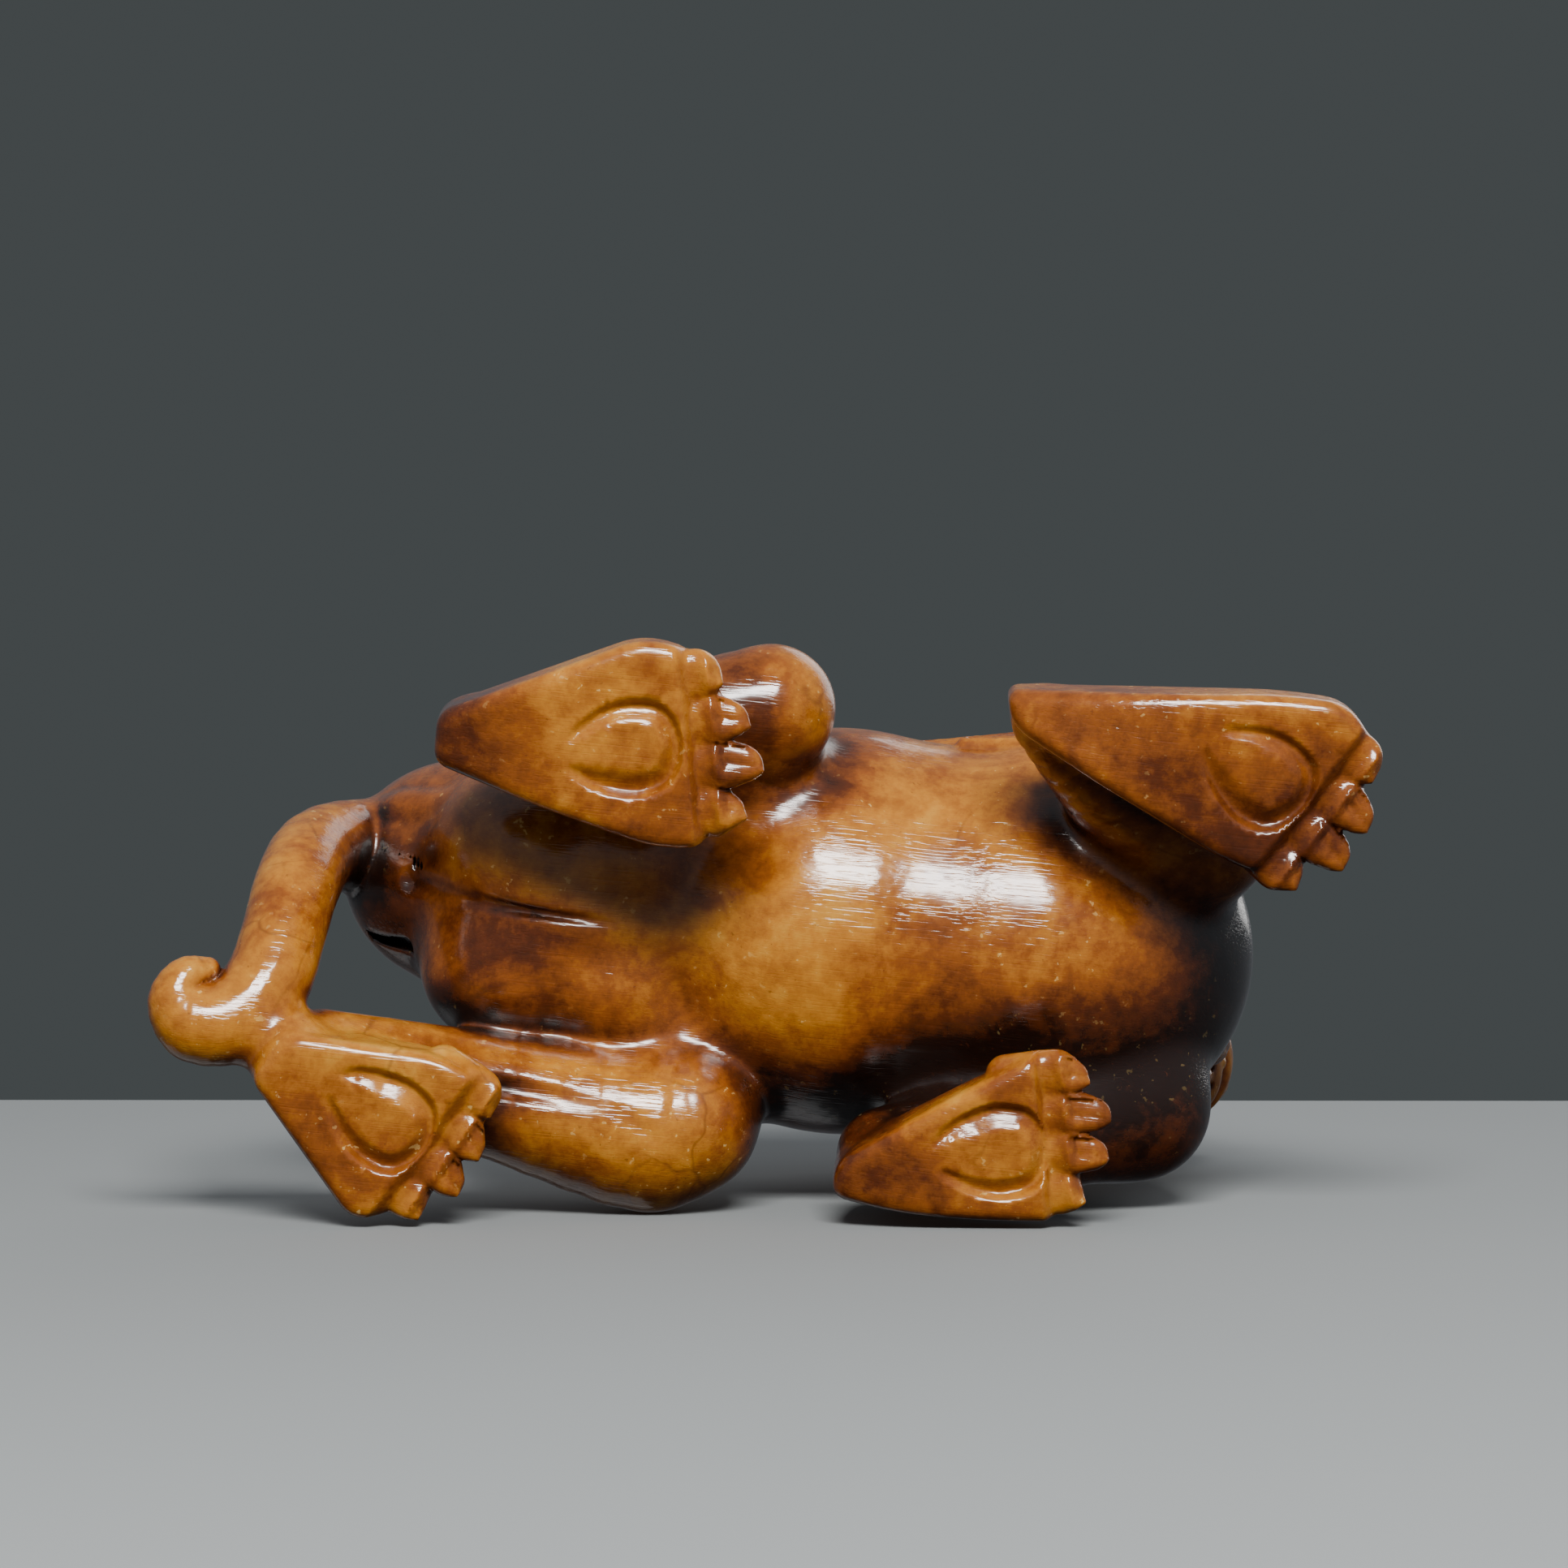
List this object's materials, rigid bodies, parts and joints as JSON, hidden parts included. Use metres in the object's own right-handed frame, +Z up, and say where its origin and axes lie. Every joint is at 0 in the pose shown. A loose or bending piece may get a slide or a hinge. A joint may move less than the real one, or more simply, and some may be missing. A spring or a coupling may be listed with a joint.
{
  "type": "jade animal carving",
  "caption": "Palm-sized polished jade carving of a crouching winged pixiu with flat-soled clawed paws, a rounded belly and a tail that curls down to its hind heel.",
  "frame": {"origin": "middle of the carving's bounding box at the level of its soles, on the surface it stands on", "axes": "+X the way the beast faces, +Y its left side, +Z up from its soles"},
  "size_m": [0.0954, 0.0488, 0.0573],
  "materials": {
    "jade": "high polish over mottled honey to russet brown jade with pale flecks"
  },
  "bodies": {
    "root": {"pixiu_carving": "jade"}
  },
  "joints": []
}
